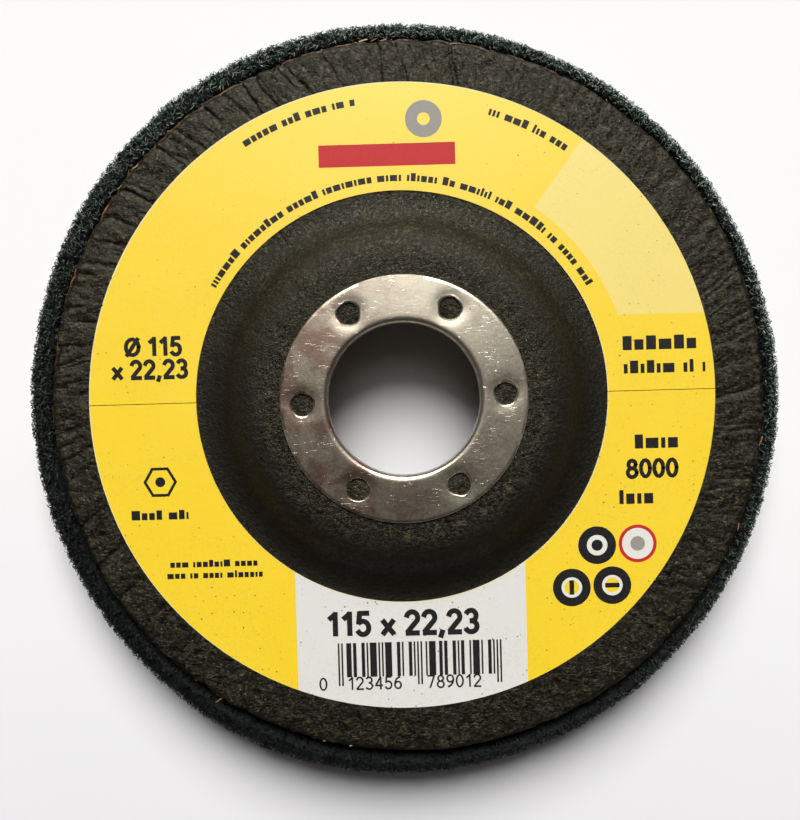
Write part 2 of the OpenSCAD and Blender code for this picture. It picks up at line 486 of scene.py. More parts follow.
def add_floor():
    far = 12.0
    corners = np.array([[-far, -far, 0], [far, -far, 0], [far, far, 0], [-far, far, 0]])
    floor = new_object("floor", corners, [(0, 1, 2, 3)], smooth=False)
    floor.data.materials.append(floor_material())


def add_lamp(name, kind, towards, energy):
    """A lamp that shines from a direction, or from the point that the direction ends at."""
    data = bpy.data.lights.new(name, kind)
    data.energy = energy
    lamp = bpy.data.objects.new(name, data)
    lamp.location = towards
    lamp.rotation_euler = Vector(towards).to_track_quat("Z", "Y").to_euler()
    bpy.context.scene.collection.objects.link(lamp)
    return data


def add_light():
    """A broad soft light from +Y, a lamp above it, and a dim studio that is paler at the horizon."""
    sun = add_lamp("key", "SUN", (-0.01, 0.725, 0.688), 5.05)
    sun.angle = math.radians(36)
    sun.color = (1.0, 0.985, 0.965)
    box = add_lamp("softbox", "AREA", (0.01, 0.25, 0.53), 0.26)
    box.shape = "DISK"
    box.size = 0.24

    world = bpy.data.worlds.new("studio")
    bpy.context.scene.world = world
    world.use_nodes = True
    sky = Nodes(world.node_tree)
    height = sky.split(sky.node("ShaderNodeTexCoord").outputs["Generated"])[2]
    horizon, low = (0.42, 0.42, 0.43), (0.26, 0.26, 0.27)
    high, top = (0.045, 0.043, 0.040), (0.022, 0.016, 0.013)
    shade = sky.ramp(height, (0.0, horizon), (0.06, low), (0.3, high), (1.0, top))
    background = sky.tree.nodes["Background"].inputs
    sky.feed(background["Color"], shade)
    sky.feed(background["Strength"], 1.0)
    bpy.context.scene.view_settings.view_transform = "Standard"


add_camera()
add_floor()
add_light()


def finish_piece(obj, material, slot, *nodes):
    """Gives a new piece its material, its body and the CAD nodes that it stands for. The slot is not used.
    """
    obj.data.materials.append(material)
    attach(obj, "root")
    if nodes:
        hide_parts(*nodes)


# The plate: cover fleece, plies and loose strands at the edge
MAIN_CREASES = {"pitch": 3.0 * MM, "seed": 11, "wander": 0.35 * MM}
SMALL_CREASES = {"pitch": 1.5 * MM, "seed": 12, "wander": 0.6 * MM}
# Pleats at the hub's foot: angle in degrees, length and depth in millimetres
PLEATS = ((94, 3.2, 0.16), (127, 2.2, 0.12), (76, 1.6, 0.10), (152, 2.6, 0.10), (30, 2.4, 0.08))
FLEECE_EDGE, FLEECE_KNEE = 54.0 * MM, 49.0 * MM  # the fleece is fitted to the plate's edge between them


def edge_radius(theta, seed=0):
    """The plate's moulded edge: a little off centre, wavy and nicked."""
    nicks = np.minimum(0, around(theta, 70, 31 + seed) + 0.25) * (1 + 0.8 * bump(theta, 85, 25))
    shift = 0.55 * np.cos(theta - 0.1) - 0.05
    scallop = creases(np.full(theta.shape, PLATE_R), theta, **MAIN_CREASES) * crease_weight(theta)
    return PLATE_R + (shift + 0.13 * around(theta, 26, 30) + 0.28 * nicks + 0.45 * scallop) * MM


def crease_weight(theta):
    """How strongly the cover fleece is creased, round the rim."""
    left = 1.15 * bump(theta, 150, 50) + 0.35 * bump(theta, 82, 30)
    right = 0.55 * bump(theta, 5, 45)
    return 0.20 + left + right + 0.15 * bump(theta, 235, 25)


def creases(r, theta, pitch, seed, wander):
    """Sharp valleys, from 0 down to about -1, that lean across the rim some pitch apart."""
    rng = np.random.default_rng(seed)
    count = round(TAU * PLATE_R / pitch)
    at = np.cumsum(rng.uniform(0.35, 1.65, count))
    at = at / at[-1] * TAU
    depth = rng.uniform(0.25, 1.0, count)
    first = rng.choice([-0.6, -0.6, -0.6, 0.25, 0.45], count)
    last = rng.choice([0.35, 0.65, 1.6, 1.6, 1.6], count)
    lean = rng.normal(1.0, 0.35, count)
    steep = rng.uniform(0.16, 0.28, count) * MM
    gentle = rng.uniform(0.5, 0.95, count) * MM
    out = r - LABEL_OUT
    along = out / (PLATE_R - LABEL_OUT)
    sway = wander * noise(theta * 22, r / MM * 0.35, 0.0, seed)
    sway = sway + 0.3 * wander * noise(theta * 70, r / MM * 1.1, 0.0, seed + 1)
    flat = (theta - (math.tan(SWIRL) * out + sway) / r) % TAU
    after = np.searchsorted(at, flat) % count
    total = np.zeros(r.shape)
    for k in (after - 1, after):
        k = k % count
        away = ((flat - at[k] + math.pi) % TAU - math.pi) * r
        away = away - (lean[k] - 1) * math.tan(SWIRL) * out
        fade = step(along, first[k] - 0.2, first[k] + 0.2) * (1 - step(along, last[k] - 0.3, last[k] + 0.1))
        width = np.where(away < 0, steep[k], gentle[k])
        total = np.minimum(total, -depth[k] * fade * np.exp(-np.abs(away) / width))
    return total


def rim_creases(r, theta):
    """Height of the rim's creased fleece over the smooth plate."""
    weight = crease_weight(theta)
    main = 0.42 * MM * creases(r, theta, **MAIN_CREASES)
    small = 0.13 * MM * creases(r, theta, **SMALL_CREASES)
    turn = theta * PLATE_R / MM
    lean = math.tan(SWIRL) * (r - LABEL_OUT) / MM
    puff = 0.10 * MM * noise((turn - lean) * 0.40, r / MM * 0.14, 0.0, 9)
    ridges = 0.05 * MM * (1 - 2 * np.abs(noise((turn - lean) * 0.8, r / MM * 0.30, 0.0, 17)))
    fine = 0.070 * MM * noise(turn * 1.1, r / MM * 0.8, 0.0, 10)
    fine = fine + 0.030 * MM * noise(turn * 2.9, r / MM * 2.4, 0.0, 18)
    return (main + small) * weight + (puff + ridges) * (0.35 + 0.65 * weight) + fine + 0.06 * MM


def fleece_height(r, theta):
    """How far the cover fleece stands off the smooth plate."""
    rim = rim_creases(r, theta) * step(r, LABEL_OUT - 0.6 * MM, LABEL_OUT + 0.5 * MM)
    radial = r / MM
    round_it = theta * FOOT_R / MM
    hub = 0.05 * MM * noise(round_it * 0.45, radial * 0.3, 0.0, 14)
    hub = hub + 0.02 * MM * noise(round_it * 1.5, radial * 1.1, 0.0, 15)
    on_hub = step(r, RING_R - 0.5 * MM, RING_R + 1.5 * MM) * (1 - step(r, FOOT_R - 1.5 * MM, FOOT_R))
    pleats = np.zeros(r.shape)
    for centre, reach, deep in PLEATS:
        away = ((theta - math.radians(centre) + math.pi) % TAU - math.pi) * r
        away = away + 0.12 * (r - FOOT_R)
        near = step(r, FOOT_R - reach * MM, FOOT_R - 0.3 * reach * MM)
        near = near * (1 - step(r, FOOT_R + 0.3 * MM, LABEL_IN + 0.6 * MM))
        pleats -= deep * MM * near * np.exp(-np.abs(away / (0.16 * MM)) ** 1.5)
    return rim + hub * on_hub + pleats


def back_fleece():
    """The cover fleece on the plate's back, creased outside the label."""
    top = spans(PLATE_HOLE_R / MM, (17.6, 3), (25.4, 1.3), (31.4, 0.55), (46.5, 8), (54.0, 0.29))
    bottom = spans(PLATE_HOLE_R / MM, (SHOULDER_R / MM, 9), (31.4, 3), (46.5, 8), (54.0, 2.5))[::-1]
    r = np.concatenate([top, bottom])
    z = np.concatenate([plate_line(0, top), plate_line(FLEECE_T, bottom)])
    upper = np.arange(len(r)) < len(top)

    def shape(rr, zz, theta):
        edge = edge_radius(theta)
        share = np.clip((rr - FLEECE_KNEE) / (FLEECE_EDGE - FLEECE_KNEE), 0, 1)
        rr = rr + share * (edge - FLEECE_EDGE)
        droop = step(rr, edge - 0.8 * MM, edge) ** 2 * (0.30 + 0.15 * around(theta, 60, 44)) * MM
        lift = fleece_height(rr, theta)
        lift = np.where(upper, lift, np.minimum(lift, 0) - 0.03 * MM)
        return rr, zz + lift - droop

    obj = ring_solid("cover_fleece_back", r, z, 2000, shape)
    finish_piece(obj, fleece_material("cover_fleece"), "cover_fleece", "back_cover_fleece")


def plies(material):
    """The plate's glass cloth, which is squeezed thinner under the creases of its rim."""
    for i in range(1, PLY_COUNT + 1):
        hole = LIP_END if i == PLY_COUNT else PLATE_HOLE_R
        stops = ((SHOULDER_R / MM, 3), (31, 1.0), (46, 8), (47, 0.5), (52.0, 5), (53.5, 0.5))
        radii = spans(hole / MM, *stops)
        low, high = FLEECE_T + i * PLY_T, FLEECE_T + (i - 1) * PLY_T
        r = np.concatenate([radii, radii[-1:], radii[::-1]])
        middle = [RIM_Z - (low + high) / 2]
        z = np.concatenate([plate_line(high, radii), middle, plate_line(low, radii[::-1])])

        def shape(rr, zz, theta, i=i, tip=len(radii)):
            proud = 0.10 + 0.24 * bump(theta, 82, 22) + 0.22 * bump(theta, 140, 40)
            proud = proud + 0.15 * bump(theta, 245, 18)
            frayed = edge_radius(theta, i) + (proud + 0.12 * around(theta, 160, 50 + i)) * MM
            share = np.clip((rr - 50 * MM) / (3.5 * MM), 0, 1)
            bulge = 0.10 * MM * (np.arange(rr.shape[1]) == tip)
            depth = np.clip(1 - (RIM_Z - zz) / (PLATE_T - FLEECE_T), 0, 1)
            squeeze = 0.45 * step(rr, 46 * MM, 47 * MM) * depth + 0.25 * share**2 * (1 - i / PLY_COUNT)
            return rr + share * (frayed - PLATE_R) + bulge, zz - squeeze * MM

        obj = ring_solid(f"glass_cloth_{i}", r, z, 640, shape)
        finish_piece(obj, material, "glass_laminate", f"glass_ply_{i}")


# Fibres: one mesh of many short crimped tubes
def tubes(name, start, heading, length, thickness, crimp, rng, segments=5, sides=3, keep=None):
    """Closed tubes that start at points, set off along headings and wander by crimp."""
    count = len(start)
    steps = (length / segments)[:, None]
    line = [start]
    way = heading / np.linalg.norm(heading, axis=1, keepdims=True)
    ways = [way]
    turn = rng.normal(0, 1, (count, 3))
    for _ in range(segments):
        turn = 0.55 * turn + rng.normal(0, 0.85, (count, 3))
        way = way + crimp * turn
        way /= np.linalg.norm(way, axis=1, keepdims=True)
        line.append(line[-1] + way * steps)
        ways.append(way)
    line, ways = np.stack(line, 1), np.stack(ways, 1)
    if keep:
        line = keep(line)
    side = np.cross(ways, np.array([0.31, 0.52, 0.79]))
    side /= np.linalg.norm(side, axis=2, keepdims=True)
    other = np.cross(ways, side)
    taper = np.ones(segments + 1)
    taper[0] = taper[-1] = 0.6
    angle = np.arange(sides) / sides * TAU
    ring = side[:, :, None] * np.cos(angle)[None, None, :, None]
    ring = ring + other[:, :, None] * np.sin(angle)[None, None, :, None]
    radius = (thickness[:, None] * taper[None, :])[:, :, None, None]
    points = (line[:, :, None] + ring * radius).reshape(-1, 3)
    per = (segments + 1) * sides
    base = np.arange(count)[:, None, None] * per
    k = np.arange(segments)[None, :, None] * sides
    j = np.arange(sides)[None, None, :]
    j2 = (j + 1) % sides
    quads = np.stack([base + k + j, base + k + j2, base + k + sides + j2, base + k + sides + j], -1)
    first = np.arange(count)[:, None] * per + np.arange(sides)[::-1][None, :]
    last = np.arange(count)[:, None] * per + segments * sides + np.arange(sides)[None, :]
    faces = quads.reshape(-1, 4).tolist() + first.tolist() + last.tolist()
    return new_object(name, points, faces)


# The abrasive: three webs, each a rough core with fibres over what shows of it
def web_radius(theta):
    """Outer radius of the webs' core: the trimmed edge isn't quite round."""
    swell = 0.40 * bump(theta, 125, 28) - 0.15 * bump(theta, 60, 45)
    swell = swell + 0.45 * bump(theta, 262, 40) + 0.45 * bump(theta, 252, 22) - 0.30 * bump(theta, 80, 40)
    return DISC_R + (-0.40 + swell + 0.10 * around(theta, 40, 60) + 0.07 * around(theta, 240, 62)) * MM


def lean(z):
    """How far the trimmed wall stands in at a height, over its foot."""
    return 0.70 * MM * np.clip((z - 4.5 * MM) / (4.0 * MM), 0, 1)


def shoulder_height(r, theta):
    """Height of the back web's face: flat under the plate, swollen beyond its edge."""
    edge = edge_radius(theta)
    low_side = bump(theta, 270, 55)
    swell = step(r, edge + (0.8 * low_side - 0.1) * MM, edge + (0.9 + 1.5 * low_side) * MM)
    drop = np.clip((r - (web_radius(theta) - 1.5 * MM)) / (0.8 * MM), 0, 1)
    rise = 2.2 + 0.15 * around(theta, 90, 63)
    return BACK_WEB_Z + (rise * swell - 0.8 * drop**2.5) * MM


def web_core(name, low, high, material, node):
    """A closed ring with a rough outer and inner wall, and a swollen lid on the back web."""
    is_back = node == "back_web"
    top = spans(ABRASIVE_HOLE_R / MM, (52.5, 4), (57.5, 0.30))
    wall = np.linspace(high, low, max(3, round((high - low) / (0.33 * MM))))[1:-1]
    bottom = spans(ABRASIVE_HOLE_R / MM, (57.5, 0.9 if low == 0 else 5))[::-1]
    inner = wall[::-1]
    walls = np.full(len(wall), DISC_R), np.full(len(inner), ABRASIVE_HOLE_R)
    r = np.concatenate([top, walls[0], bottom, walls[1]])
    z = np.concatenate([np.full(len(top), high), wall, np.full(len(bottom), low), inner])
    bottom_at = slice(len(top) + len(wall), len(top) + len(wall) + len(bottom))

    def shape(rr, zz, theta):
        outer = web_radius(theta) - 0.22 * MM - lean(zz + (2.0 * MM if is_back else 0.0))
        if low == 0:
            outer = outer - np.clip(1 - zz / (1.0 * MM), 0, 1) ** 2 * 1.0 * MM
        share = np.clip((rr - 52.5 * MM) / (5.0 * MM), 0, 1)
        rr = rr + share * (outer - DISC_R)
        x, y = rr * np.cos(theta) / MM, rr * np.sin(theta) / MM
        rough = noise(x * 1.7, y * 1.7, zz / MM * 1.7, 70)
        rough = rough + 0.6 * noise(x * 3.4, y * 3.4, zz / MM * 3.4, 71)
        rr = rr + rough * 0.16 * MM * (share > 0.98)
        rr = rr + rough * 0.10 * MM * (rr < ABRASIVE_HOLE_R + 0.1 * MM)
        if is_back:
            lid = np.s_[:, : len(top)]
            edge = edge_radius(theta[lid])
            zz[lid] = shoulder_height(rr[lid], theta[lid]) - 0.3 * MM * (rr[lid] > PLATE_R - 0.5 * MM)
            zz[lid] += rough[lid] * 0.14 * MM * step(rr[lid], edge, edge + 0.8 * MM)
        if low == 0:
            zz[:, bottom_at] = (0.30 + 0.10 * rough[:, bottom_at]) * MM
        return rr, zz

    obj = ring_solid(name, r, z, 900, shape)
    finish_piece(obj, material, "abrasive_fleece", node)


def fibre_heading(theta, out, up, along, rng):
    """Random headings in the frame of a point on the rim: outwards, upwards and along the rim."""
    n = len(theta)
    cos, sin, none = np.cos(theta), np.sin(theta), np.zeros(n)
    draw = [rng.normal(mean, spread, n)[:, None] for mean, spread in (out, up, along)]
    heading = np.stack([cos, sin, none], 1) * draw[0] + np.array([[0.0, 0.0, 1.0]]) * draw[1]
    return heading + np.stack([-sin, cos, none], 1) * draw[2]


def fibres(name, at, spreads, sizes, lengths, crimp, rng, material, slot="abrasive_fleece", **how):
    """A piece of fibres that start at (r, theta, z) and differ in heading, size and length."""
    heading = fibre_heading(at[1], *spreads, rng)
    size = rng.uniform(*sizes, len(heading)) * MM
    length = rng.uniform(*lengths, len(heading)) * MM
    obj = tubes(name, on_ring(*at), heading, length, size, crimp, rng, **how)
    finish_piece(obj, material, slot)


def hold_in(line):
    """Keeps fibres off the floor and inside the trimmed wall, a little uneven."""
    line[..., 2] = np.maximum(line[..., 2], 0.12 * MM)
    reach, angle = polar(line)
    limit = web_radius(angle) - lean(line[..., 2]) + (0.18 + 0.12 * around(angle, 900, 61)) * MM
    line[..., :2] *= np.minimum(1, limit / np.maximum(reach, 1e-9))[..., None]
    return line


def rim_fibres(name, low, high, count, seed, material):
    """Fibres over the outer wall of one web."""
    rng = np.random.default_rng(seed)
    theta = rng.uniform(0, TAU, count)
    z = rng.uniform(low, high, count)
    r = web_radius(theta) - lean(z) + rng.uniform(-0.35, 0.05, count) * MM
    spreads = (0.25, 0.45), (0.1, 0.70), (0.0, 0.8)
    how = {"segments": 3, "keep": hold_in}
    fibres(name, (r, theta, z), spreads, (0.045, 0.085), (0.5, 1.2), 0.15, rng, material, **how)


def under_lid(line):
    """Keeps fibres of the band in, and no higher than a little over the web's swollen face."""
    line = hold_in(line)
    line[..., 2] = np.minimum(line[..., 2], shoulder_height(*polar(line)) + 0.42 * MM)
    return line


def band_fibres(name, first, last, seed, material):
    """Fibres over the swollen band that shows round the plate, between two angles."""
    rng = np.random.default_rng(seed)
    count = 9000
    theta = rng.uniform(first, last, count)
    inner, outer = edge_radius(theta) - 0.4 * MM, web_radius(theta) - 0.65 * MM
    r = inner + (outer - inner) * rng.uniform(0, 1, count) ** 0.8
    z = shoulder_height(r, theta) + rng.uniform(-0.40, 0.05, count) * MM
    spreads = (0.15, 0.6), (0.35, 0.55), (0.0, 0.6)
    how = {"segments": 3, "keep": under_lid}
    fibres(name, (r, theta, z), spreads, (0.045, 0.085), (0.5, 1.15), 0.13, rng, material, **how)


def near_face(line):
    """Keeps fibres of the working face lying on it."""
    line = hold_in(line)
    line[..., 2] = np.minimum(line[..., 2], 0.45 * MM)
    return line


def face_fibres(material):
    """Fibres over the working face and the wall of the abrasive's hole."""
    rng = np.random.default_rng(82)
    count = 6100
    theta = rng.uniform(0, TAU, count)
    inner, outer = ABRASIVE_HOLE_R, DISC_R - 1.2 * MM
    r = np.sqrt(inner**2 + (outer**2 - inner**2) * rng.uniform(0, 1, count))
    at = r, theta, rng.uniform(0.10, 0.32, count) * MM
    spreads = (0.0, 0.8), (0.0, 0.12), (0.0, 0.8)
    fibres("fibres_face", at, spreads, (0.05, 0.10), (1.5, 4.0), 0.5, rng, material, keep=near_face)

    count = 2600
    theta = rng.uniform(0, TAU, count)
    z = rng.uniform(0.2, BACK_WEB_Z / MM - 0.2, count) * MM
    at = ABRASIVE_HOLE_R + rng.uniform(-0.15, 0.12, count) * MM, theta, z
    spreads = (-0.05, 0.25), (0.0, 0.8), (0.0, 0.9)
    fibres("fibres_hole", at, spreads, (0.05, 0.09), (0.9, 2.2), 0.5, rng, material, keep=hold_in)


def abrasive():
    core, fibre = web_core_material(), web_fibre_material()
    web_core("web_front", 0.0, MIDDLE_WEB_LOW, core, "front_web")
    web_core("web_middle", MIDDLE_WEB_LOW, MIDDLE_WEB_HIGH, core, "middle_web")
    web_core("web_back", MIDDLE_WEB_HIGH, BACK_WEB_Z, core, "back_web")
    rim_fibres("fibres_rim_front", 0.1 * MM, MIDDLE_WEB_LOW, 5200, 91, fibre)
    rim_fibres("fibres_rim_middle", MIDDLE_WEB_LOW, MIDDLE_WEB_HIGH, 5200, 92, fibre)
    rim_fibres("fibres_rim_back", MIDDLE_WEB_HIGH, BACK_WEB_Z + 1.6 * MM, 7500, 93, fibre)
    band_fibres("fibres_band_upper", 0, math.pi, 81, fibre)
    band_fibres("fibres_band_lower", math.pi, TAU, 84, fibre)
    face_fibres(fibre)


# Tufts of yarn ends: angle round the disc and spread in degrees, and how many
TUFTS = ((100, 5, 14), (80, 8, 8), (137, 3, 7), (232, 4, 8), (258, 2.5, 6), (345, 5, 3), (160, 15, 8))


def strands():
    """Yarn ends that lie along the plate's cut edge, most of them in a few places."""
    rng = np.random.default_rng(41)
    theta = np.radians(np.concatenate([rng.normal(*tuft) for tuft in TUFTS]))
    r = edge_radius(theta) + rng.uniform(-0.10, 0.18, len(theta)) * MM
    z = RIM_Z + rng.uniform(-1.3, -0.25, len(theta)) * MM
    spreads = (0.02, 0.06), (0.0, 0.05), (0.0, 1.0)
    how = {"slot": "glass_laminate", "segments": 6, "sides": 6}
    sizes, lengths = (0.05, 0.11), (0.4, 1.6)
    fibres("glass_strands", (r, theta, z), spreads, sizes, lengths, 0.05, rng, strand_material(), **how)


back_fleece()
plies(glass_material())
strands()
abrasive()

# The label and its print. Print sizes are in millimetres in the label's own frame: its centre
# is the origin and x runs along its slit.
PRINT_T = 0.012 * MM


def label_top(x, y):
    """Height of the label's face: flat, but it climbs the foot of the hub's slope."""
    r = np.hypot(x, y)
    climb = BEND_R - np.sqrt(BEND_R**2 - np.clip(FOOT_R + 0.55 * MM - r, 0, BEND_R) ** 2)
    return RIM_Z + LABEL_T + climb + 0.04 * MM


def on_label(u, v):
    """A point of the label's own frame, in millimetres, in the disc's frame."""
    cos, sin = math.cos(LABEL_TURN), math.sin(LABEL_TURN)
    return (u * cos - v * sin) * MM + LABEL_AT[0], (u * sin + v * cos) * MM + LABEL_AT[1]


def patch(u, v, thickness, raised):
    """Points and faces of a thin closed solid over a grid of label points."""
    x, y = (c.ravel() for c in on_label(u, v))
    top = label_top(x, y) + raised
    points = np.concatenate([np.stack([x, y, top], 1), np.stack([x, y, top - thickness], 1)])
    count = u.size
    grid = np.arange(count).reshape(u.shape)
    upper = np.stack([grid[:-1, :-1], grid[1:, :-1], grid[1:, 1:], grid[:-1, 1:]], -1).reshape(-1, 4)
    border = np.concatenate([grid[0], grid[1:, -1], grid[-1, -2::-1], grid[-2:0:-1, 0]])
    after = np.roll(border, -1)
    walls = np.stack([border, after, after + count, border + count], 1)
    return points, np.concatenate([upper, upper[:, ::-1] + count, walls])


def print_piece(name, patches, material):
    """One object of all the patches that one ink prints. Overlapping ones differ in height."""
    points, faces, base = [], [], 0
    for k, (u, v) in enumerate(patches):
        lift = PRINT_T * (1 + 0.08 * (k % 6))
        more, quads = patch(np.asarray(u, float), np.asarray(v, float), PRINT_T * 0.5 + lift, lift)
        points.append(more)
        faces.append(quads + base)
        base += len(more)
    obj = new_object(name, np.concatenate(points), np.concatenate(faces).tolist(), smooth=False)
    fix_normals(obj)
    finish_piece(obj, material, "label_paper")


def fix_normals(obj):
    mesh = bmesh.new()
    mesh.from_mesh(obj.data)
    bmesh.ops.recalc_face_normals(mesh, faces=mesh.faces)
    mesh.to_mesh(obj.data)
    mesh.free()


def label_half(name, node, side, material):
    """Half of the label's ring, with its slit edge straight."""
    radii = np.linspace(LABEL_IN, LABEL_OUT, 15) / MM
    rows = []
    for r in radii:
        gap = math.asin(LABEL_SLIT / MM / 2 / r)
        rows.append(np.linspace(gap, math.pi - gap, 260) * side)
    angle = np.array(rows)
    r = radii[:, None]
    points, faces = patch(r * np.cos(angle), r * np.sin(angle), LABEL_T + 0.03 * MM, 0.0)
    obj = new_object(name, points, faces.tolist(), smooth=False)
    fix_normals(obj)
    finish_piece(obj, material, "label_paper", node)


def bar(x, y, width, height):
    """A flat bar about a centre."""
    u = np.array([[x - width / 2] * 2, [x + width / 2] * 2])
    v = np.array([[y - height / 2, y + height / 2]] * 2)
    return u, v


def arc_bar(r, height, first, last):
    """A bar bent round the label's centre, from one angle to another."""
    t = np.radians(np.linspace(first, last, max(3, round(abs(last - first)) + 2)))[:, None]
    radii = np.array([[r - height / 2, r + height / 2]])
    return radii * np.cos(t), radii * np.sin(t)


def ring_bar(x, y, r_in, r_out):
    """A ring or a disc about a centre."""
    t = np.radians(np.linspace(0, 360, 40))[:, None]
    radii = np.array([[r_in, r_out]])
    return x + radii * np.cos(t), y + radii * np.sin(t)


def stroke(path, width):
    """A pen stroke of even width along a path of points."""
    path = np.array(path, float)
    way = np.gradient(path, axis=0)
    way /= np.linalg.norm(way, axis=1, keepdims=True)
    path[0] -= way[0] * width * 0.25
    path[-1] += way[-1] * width * 0.25
    side = np.stack([-way[:, 1], way[:, 0]], 1) * width / 2
    u, v = np.stack([path - side, path + side], 1).transpose(2, 0, 1)
    return u, v


def turn(cx, cy, rx, ry, first, last):
    """Points along part of an ellipse."""
    t = np.radians(np.linspace(first, last, 14))
    return list(zip(cx + rx * np.cos(t), cy + ry * np.sin(t)))


# Strokes of each figure, in a box one unit high
FIGURES = {
    "0": [turn(0.30, 0.5, 0.25, 0.46, 0, 360)],
    "1": [[(0.10, 0.74), (0.34, 0.94)], [(0.34, 0.98), (0.34, 0.04)]],
    "2": [turn(0.30, 0.70, 0.24, 0.26, 165, -25) + [(0.10, 0.10)], [(0.06, 0.04), (0.56, 0.04)]],
    "3": [turn(0.28, 0.73, 0.22, 0.23, 150, -90), turn(0.28, 0.27, 0.25, 0.24, 90, -150)],
    "4": [[(0.44, 0.02), (0.44, 0.96)], [(0.42, 0.94), (0.06, 0.32)], [(0.04, 0.30), (0.58, 0.30)]],
    "5": [
        [(0.52, 0.95), (0.16, 0.95)],
        [(0.16, 0.98), (0.11, 0.52)],
        turn(0.29, 0.32, 0.25, 0.29, 130, -150),
    ],
    "6": [turn(0.30, 0.30, 0.24, 0.27, 0, 360), turn(0.56, 0.34, 0.50, 0.60, 182, 102)],
    "7": [[(0.05, 0.95), (0.56, 0.95)], [(0.54, 0.93), (0.22, 0.03)]],
    "8": [turn(0.30, 0.73, 0.20, 0.22, 0, 360), turn(0.30, 0.27, 0.25, 0.25, 0, 360)],
    "9": [turn(0.30, 0.70, 0.24, 0.27, 0, 360), turn(0.04, 0.66, 0.50, 0.60, 2, -78)],
    "O": [turn(0.40, 0.5, 0.36, 0.44, 0, 360), [(0.08, 0.04), (0.72, 0.96)]],
    "x": [[(0.06, 0.04), (0.50, 0.60)], [(0.06, 0.60), (0.50, 0.04)]],
    ",": [[(0.12, 0.10), (0.04, -0.14)]],
    " ": [],
}
ADVANCE = {"O": 0.92, ",": 0.34, " ": 0.36, "x": 0.66, "1": 0.62}


def figures(text, x, y, height, pen):
    """Figures centred on a point."""
    widths = [ADVANCE.get(c, 0.74) * height for c in text]
    at = x - sum(widths) / 2
    out = []
    for c, width in zip(text, widths):
        for path in FIGURES[c]:
            placed = [(at + px * height, y + (py - 0.5) * height) for px, py in path]
            out.append(stroke(placed, pen))
        at += width
    return out


def blocks(rng, length, height):
    """Widths and heights of a line's plain blocks, one for each letter, with gaps between words."""
    at, left = 0.0, rng.integers(3, 8)
    while at < length - 0.2 * height:
        if left == 0:
            left = rng.integers(2, 9)
            at += 0.55 * height
            continue
        left -= 1
        width = height * rng.choice([0.32, 0.62, 0.68, 0.74, 0.95])
        tall = height * rng.choice([0.78, 0.78, 0.78, 1.05])
        yield at, min(width, length - at), tall
        at += width + 0.20 * height


def words(rng, x, y, width, height):
    """A line of text told by plain blocks."""
    return [
        bar(x - width / 2 + at + size / 2, y + (tall - height) / 2, size, tall)
        for at, size, tall in blocks(rng, width, height)
    ]


def arc_words(rng, r, height, first, last):
    """The same along an arc, clockwise from the first angle."""
    out = []
    for at, size, tall in blocks(rng, math.radians(first - last) * r, height):
        begin = first - math.degrees(at / r)
        out.append(arc_bar(r + (tall - height) / 2, tall, begin, begin - math.degrees(size / r)))
    return out


# Gap, bar, gap and bar of a bar code's figure, in modules
RUNS = [(1, 2, 3, 1), (2, 1, 2, 2), (1, 1, 1, 4), (2, 2, 1, 2), (3, 2, 1, 1), (1, 3, 1, 2), (1, 4, 1, 1)]


def bar_code(rng, x, y, module, height):
    """Bars of random width between pairs of longer guard bars."""
    out, at = [], x

    def add(width, tall):
        out.append(bar(at + width * module / 2, y - tall / 2, width * module, tall))

    for part in range(3):
        for _ in range(2):
            add(1, height + 1.3)
            at += 2 * module
        if part == 2:
            return out
        for _ in range(6):
            first, dark, second, dark_too = RUNS[rng.integers(len(RUNS))]
            at += first * module
            add(dark, height)
            at += (dark + second) * module
            add(dark_too, height)
            at += dark_too * module
        at += module


def black_print():
    rng = np.random.default_rng(51)
    out = figures("O 115", -36.9, 8.6, 2.7, 0.62) + figures("x 22,23", -37.5, 5.2, 2.7, 0.62)
    # A plain hexagon with a dot in it, and the line under it
    corners = [(math.cos(k * TAU / 6), math.sin(k * TAU / 6)) for k in range(7)]
    corners = [(-36.7 + 2.3 * x, -11.8 + 2.3 * y) for x, y in corners]
    for k in range(6):
        out.append(stroke(corners[k : k + 2], 0.42))
    out.append(ring_bar(-36.7, -11.8, 0.0, 0.75))
    out += words(rng, -36.9, -16.8, 8.6, 1.35)
    out += words(rng, -28.9, -24.3, 13.4, 1.0) + words(rng, -28.9, -26.0, 14.4, 1.0)
    # The right side's lines: a grade, a number and a speed
    out += words(rng, 38.8, 7.1, 11.0, 2.0) + words(rng, 39.5, 3.5, 12.2, 1.8)
    out += words(rng, 38.5, -7.7, 7.4, 2.0)
    out += figures("8000", 37.5, -11.7, 2.7, 0.62)
    out += words(rng, 35.3, -16.0, 6.0, 2.0)
    # The size and the bar code in the white field
    out += figures("115 x 22,23", -0.5, -34.05, 3.5, 0.80)
    out += bar_code(rng, -10.7, -36.95, 0.255, 5.2)
    out += figures("0", -12.9, -43.1, 1.95, 0.27)
    out += figures("123456", -5.1, -43.1, 1.95, 0.27) + figures("789012", 6.9, -43.1, 1.95, 0.27)
    out += arc_words(rng, 32.85, 1.15, 148, 29.5)
    out += arc_words(rng, 44.6, 1.2, 120.4, 97) + arc_words(rng, 44.6, 1.2, 71.4, 54.5)
    # Three dark discs and what is round their plain marks
    for x, y in ((28.8, -23.1), (24.85, -29.4), (30.95, -29.2)):
        out.append(ring_bar(x, y, 1.55, 2.85))
    out.append(ring_bar(28.8, -23.1, 0.0, 0.85))
    out += [bar(24.85, -29.4, 0.7, 2.2), bar(30.95, -29.2, 2.2, 0.7)]
    return out


def red_print():
    """A plain block in the place of a mark, and one round sign's edge."""
    return [bar(-1.2, 36.2, 20.4, 3.3), ring_bar(34.9, -23.0, 2.35, 2.85)]


